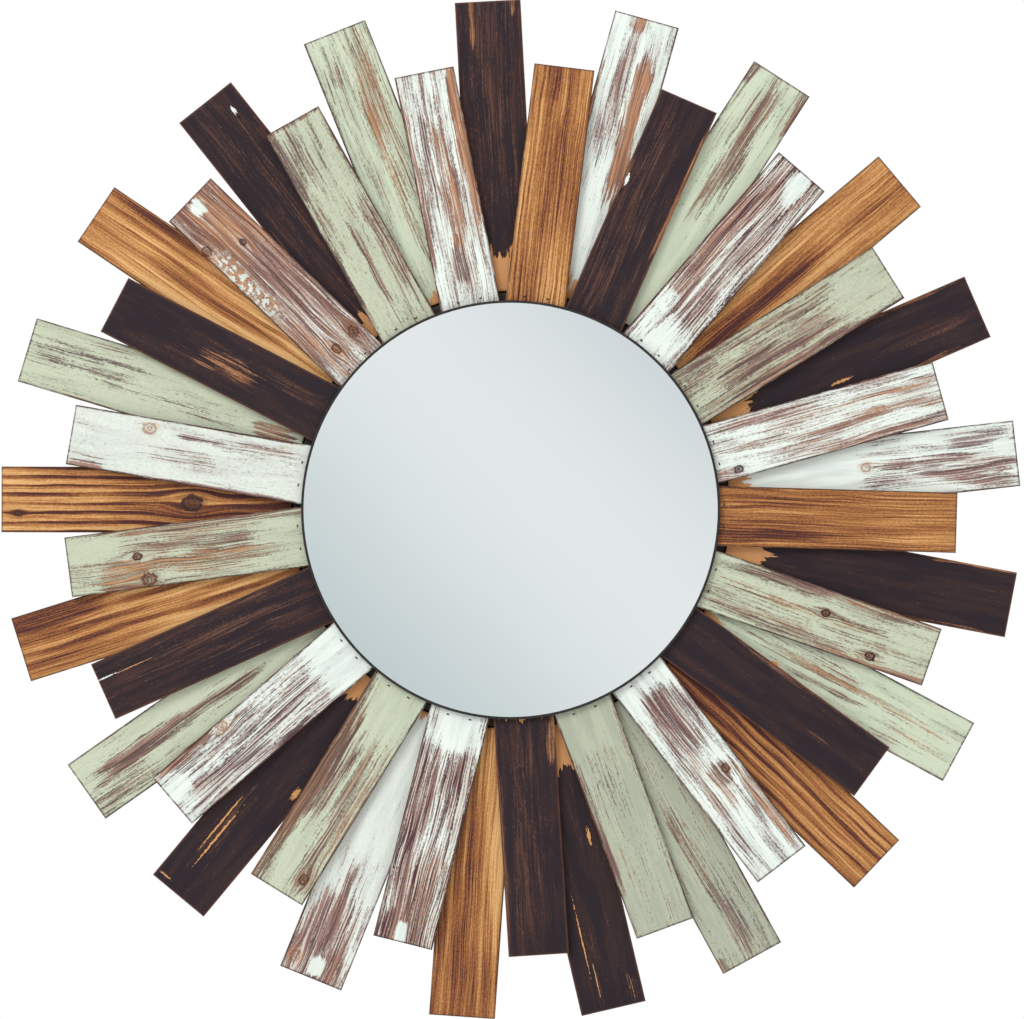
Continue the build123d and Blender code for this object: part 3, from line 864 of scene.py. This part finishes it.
def torchedPlank(node, lie, look, seed):
    finish = PlankFinish(node, lie, seed)
    finish.bendRound(look["knots"])
    fibre = finish.grain(torchLook["fibrePitch"], torchLook["fibreRun"], 4.0, 0.72)
    broad = finish.grain(0.10, 0.006, 2.0, 0.5, 5.0)
    wander = finish.grain(0.06, 0.004, 2.0, 0.5, 15.0) - 0.5
    specks = finish.noise(finish.point(finish.across * 0.8, finish.inward * 0.5, finish.seed), 1.0, 3.0, 0.65)
    saw = finish.maths("FRACT", (finish.grainAcross + wander * torchLook["wander"]) / look["ringPitch"] + 40.3)
    ring = finish.rise(saw, 0.05, 0.80) * finish.rise(saw, 1.0, 0.86)  # slow to darken, quick to clear
    ring = ring ** look.get("ringSharp", 1.0)
    strength = finish.rise(finish.grain(0.16, 0.010, 2.0, 0.5, 35.0), 0.30, 0.62) * 0.75 + 0.35
    inwards = finish.clamp(finish.inward / finish.length)
    char = inwards * (look["root"] - look["tip"]) + look["tip"]
    char = char + ring * strength * look["ringDepth"] * (inwards * 0.5 + 0.72)
    char = char + (broad - 0.5) * torchLook["broad"] + (fibre - 0.5) * torchLook["fibre"]
    char = char + (specks - 0.5) * torchLook["speck"]
    for across, half, start, end, amount in look["stripes"]:
        char = char + finish.patch(across, half, start, end, 1.6, 0.65) * amount
    char = char - finish.rise(abs(finish.across), finish.half * 0.6, finish.half) * look.get("goldEdge", 0.0)
    steps = finish.node("ShaderNodeValToRGB", {}, {0: finish.clamp(char)})
    ramp = steps.color_ramp
    ramp.elements[0].color = screenColour(*torchSteps[0][1])
    ramp.elements[1].color = screenColour(*torchSteps[-1][1])
    for place, shade in torchSteps[1:-1]:
        ramp.elements.new(place).color = screenColour(*shade)
    colour = Wire(finish, steps.outputs[0])
    height = fibre * 0.5 - ring * 0.25
    colour, height = drawKnots(finish, colour, height, look["knots"])
    # the dark rim along the edges and tip: partly burnt edge and partly painted shade, the thin dark outline where the
    # planks meet
    rim = finish.edges() * (finish.rise(finish.grain(0.6, 0.08, 3.0, 0.6, 41.0), 0.36, 0.54) * 0.5 + 0.45)
    colour = finish.blend(rim, colour, tone("edge"))
    colour = finish.blend(finish.flanks() * torchLook["flank"], colour, tone("rust"))
    finish.set("Base Color", colour)
    finish.set("Roughness", finish.clamp(0.52 + fibre * 0.2))
    finish.set("Specular IOR Level", torchLook["shine"])
    finish.bump(height, 0.5, torchLook["bumpDepth"] * mm)
    return finish.material


# The planks' own shape: a grid for the worn face, its edge turned over the arris and down the sawn sides
shapeLook = {
    "cell": 1.6,
    "arris": 0.7,
    "faceLoss": 0.15,  # millimetres that wear took off the face
    "relief": 0.30,
    "waver": 0.45,
    "seamGap": 0.4,
}


def lone(thing):
    bpy.ops.object.select_all(action="DESELECT")
    thing.select_set(True)
    bpy.context.view_layer.objects.active = thing


def clouds(name, size, depth):
    texture = bpy.data.textures.new(name, type="CLOUDS")
    texture.noise_scale = size
    texture.noise_depth = depth
    return texture


waverTexture = clouds("sawWaver", 0.03, 2)
reliefTexture = clouds("grainRelief", 0.0016, 2)
bpy.ops.object.empty_add(location=(0, 0, 0))
grainGuide = bpy.context.object
grainGuide.name = "grainGuide"
grainGuide.scale = (1.0, 1.0, 18.0)


def modelPlank(node, lie, seed):
    look = shapeLook
    edge = look["arris"] * mm
    wide = lie["width"]
    long = lie["tip"] - lie["root"]
    front = lie["front"] + look["faceLoss"] * mm
    middle = (lie["tip"] + lie["root"]) / 2
    columns = round(wide / mm / look["cell"])
    rows = round(long / mm / look["cell"])
    bpy.ops.object.select_all(action="DESELECT")
    bpy.ops.mesh.primitive_grid_add(x_subdivisions=columns, y_subdivisions=rows, size=1, rotation=(math.pi / 2, 0, 0))
    plank = bpy.context.object
    plank.name = node + "_worn"
    plank.location = (0, front, middle)
    plank.scale = (wide - 2 * edge, long - 2 * edge, 1)
    bpy.ops.object.transform_apply(location=True, rotation=True, scale=True)
    face = plank.vertex_groups.new(name="face")
    face.add(list(range(len(plank.data.vertices))), 1.0, "REPLACE")
    bpy.ops.object.mode_set(mode="EDIT")
    bpy.ops.mesh.select_mode(type="EDGE")
    bpy.ops.mesh.select_all(action="SELECT")
    bpy.ops.mesh.region_to_loop()
    bpy.ops.mesh.extrude_edges_move(TRANSFORM_OT_translate={"value": (0, edge, 0)})
    grown = (wide / (wide - 2 * edge), 1, long / (long - 2 * edge))
    bpy.ops.transform.resize(value=grown, center_override=(0, front, middle))
    bpy.ops.object.vertex_group_remove_from()
    bpy.ops.mesh.extrude_edges_move(TRANSFORM_OT_translate={"value": (0, lie["back"] - front - edge, 0)})
    bpy.ops.mesh.edge_face_add()
    bpy.ops.mesh.select_all(action="SELECT")
    bpy.ops.mesh.normals_make_consistent(inside=False)
    bpy.ops.object.mode_set(mode="OBJECT")
    grainGuide.location = (seed * 0.37, 0, seed * 0.53)
    waver = plank.modifiers.new("waver", "DISPLACE")
    waver.texture = waverTexture
    waver.texture_coords = "OBJECT"
    waver.texture_coords_object = grainGuide
    waver.direction = "X"
    waver.mid_level = 0.5
    waver.strength = look["waver"] * mm
    relief = plank.modifiers.new("relief", "DISPLACE")
    relief.texture = reliefTexture
    relief.texture_coords = "OBJECT"
    relief.texture_coords_object = grainGuide
    relief.direction = "Y"
    relief.mid_level = 0.0
    relief.strength = look["relief"] * mm
    relief.vertex_group = "face"
    bpy.ops.object.modifier_apply(modifier="waver")
    bpy.ops.object.modifier_apply(modifier="relief")
    bpy.ops.object.vertex_group_remove(all=True)
    turned = lie["bearing"]
    plank.rotation_euler = (0, turned, 0)
    plank.location = (lie["offset"] * math.cos(turned), 0, -lie["offset"] * math.sin(turned))
    bpy.ops.object.transform_apply(location=True, rotation=True, scale=True)
    return plank


def rootSpot(lie):
    turned = lie["bearing"]
    across, out = lie["offset"], lie["root"]
    return np.array([
        out * math.sin(turned) + across * math.cos(turned),
        out * math.cos(turned) - across * math.sin(turned),
    ])


def mitre(plank, lie, neighbour, side):  # cut the inner corner back along the seam with a neighbour
    here, there = rootSpot(lie), rootSpot(neighbour)
    spot = (here + there) / 2
    turn = (neighbour["bearing"] - lie["bearing"] + math.pi) % (2 * math.pi) - math.pi
    along = lie["bearing"] + turn / 2
    away = np.array([math.cos(along), -math.sin(along)]) * side
    spot = spot - away * shapeLook["seamGap"] / 2 * mm
    lone(plank)
    bpy.ops.object.mode_set(mode="EDIT")
    bpy.ops.mesh.select_all(action="SELECT")
    bpy.ops.mesh.bisect(
        plane_co=(spot[0], 0, spot[1]), plane_no=(away[0], 0, away[1]), use_fill=True, clear_outer=True
    )
    bpy.ops.object.mode_set(mode="OBJECT")


def makePlanks():
    rows = {}
    for node in plankLooks:
        rows.setdefault(node[:-3], []).append(node)
    lies = {node: lieOf(node) for node in plankLooks}
    for seed, (node, look) in enumerate(plankLooks.items()):
        row = rows[node[:-3]]
        at = row.index(node)
        plank = modelPlank(node, lies[node], seed + 1)
        mitre(plank, lies[node], lies[row[(at + 1) % len(row)]], 1)
        mitre(plank, lies[node], lies[row[at - 1]], -1)
        lone(plank)
        bpy.ops.object.shade_smooth_by_angle(angle=math.radians(40))
        dress = torchedPlank if look["finish"] == "torched" else paintedPlank
        plank.data.materials.append(dress(node, lies[node], look, seed + 1))
        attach(plank, "frame")
        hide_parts(node)
    bpy.data.objects.remove(grainGuide)
    print("planks:", len(plankLooks))


makePlanks()


# Finishes for the solids that stay as they are
def mirrorGlass():
    finish = Finish("silveredGlass")
    haze = finish.noise(finish.objectPlace(), 6.0, 2.0)
    finish.set("Base Color", finish.blend(haze, screenColour(247, 250, 249), screenColour(250, 251, 251)))
    finish.set("Metallic", 1.0)
    finish.set("Roughness", 0.012 + haze * 0.01)
    return finish.material


def blackHoop():
    finish = Finish("blackHoop")
    rub = finish.noise(finish.objectPlace(), 90.0, 4.0, 0.65)
    worn = finish.rise(rub, 0.45, 0.75)
    finish.set("Base Color", finish.blend(worn, screenColour(34, 31, 31), screenColour(58, 52, 50)))
    finish.set("Roughness", 0.45 + rub * 0.2)
    finish.set("Specular IOR Level", 0.3)
    finish.bump(rub, 0.15, 0.2 * mm)
    return finish.material


# black-painted fibreboard; its darkness is also painted shade for the deep gaps between the short planks beside the
# hoop
def blackBoardAndGapShade():
    finish = Finish("blackBoardAndGapShade")
    fibre = finish.noise(finish.objectPlace(), 900.0, 3.0, 0.6)
    roller = finish.noise(finish.objectPlace(), 34.0, 3.0, 0.5)
    colour = finish.blend(finish.rise(roller, 0.35, 0.7), screenColour(38, 35, 34), screenColour(52, 48, 46))
    colour = finish.blend(finish.rise(fibre, 0.62, 0.75) * 0.4, colour, screenColour(92, 78, 62))
    finish.set("Base Color", colour)
    finish.set("Roughness", 0.68 + roller * 0.15)
    finish.bump(fibre, 0.3, 0.3 * mm)
    return finish.material


def zincSteel():
    finish = Finish("zincSteel")
    spangle = finish.noise(finish.objectPlace(), 420.0, 3.0, 0.6)
    tarnish = finish.noise(finish.objectPlace(), 60.0, 3.0, 0.6)
    colour = finish.blend(finish.rise(spangle, 0.3, 0.7), screenColour(196, 198, 200), screenColour(172, 174, 176))
    colour = finish.blend(finish.rise(tarnish, 0.5, 0.75) * 0.5, colour, screenColour(148, 142, 128))
    finish.set("Base Color", colour)
    finish.set("Metallic", 0.9)
    finish.set("Roughness", 0.28 + tarnish * 0.22)
    finish.bump(spangle, 0.12, 0.1 * mm)
    return finish.material


def darkSteel():
    finish = Finish("darkSteel")
    rust = finish.noise(finish.objectPlace(), 700.0, 3.0, 0.6)
    rusty = finish.rise(rust, 0.45, 0.7)
    finish.set("Base Color", finish.blend(rusty, screenColour(42, 34, 32), screenColour(84, 58, 44)))
    finish.set("Metallic", 0.4)
    finish.set("Roughness", 0.5 + rust * 0.2)
    return finish.material


def softRubber():
    finish = Finish("softRubber")
    grip = finish.noise(finish.objectPlace(), 800.0, 2.0, 0.5)
    finish.set("Base Color", finish.blend(grip, screenColour(206, 205, 200), screenColour(188, 187, 182)))
    finish.set("Roughness", 0.6 + grip * 0.15)
    finish.bump(grip, 0.2, 0.1 * mm)
    return finish.material


def foamTape():
    finish = Finish("foamTape")
    cells = finish.noise(finish.objectPlace(), 1100.0, 2.0, 0.5)
    finish.set("Base Color", finish.blend(cells, screenColour(224, 222, 214), screenColour(204, 202, 194)))
    finish.set("Roughness", 0.85)
    finish.bump(cells, 0.4, 0.2 * mm)
    return finish.material


def dressSolids():
    made = {
        "silvered_glass": mirrorGlass(),
        "black_metal": blackHoop(),
        "black_fibreboard": blackBoardAndGapShade(),
        "zinc_steel": zincSteel(),
        "dark_steel": darkSteel(),
        "clear_rubber": softRubber(),
        "foam_tape": foamTape(),
    }
    for node, solid in nodes.items():
        if node in plankLooks:
            continue
        for slot in solid.material_slots:
            slot.material = made[slotOf[node]]
    print("solids dressed:", len(nodes) - len(plankLooks))


dressSolids()

bpy.context.scene.view_settings.view_transform = "Standard"
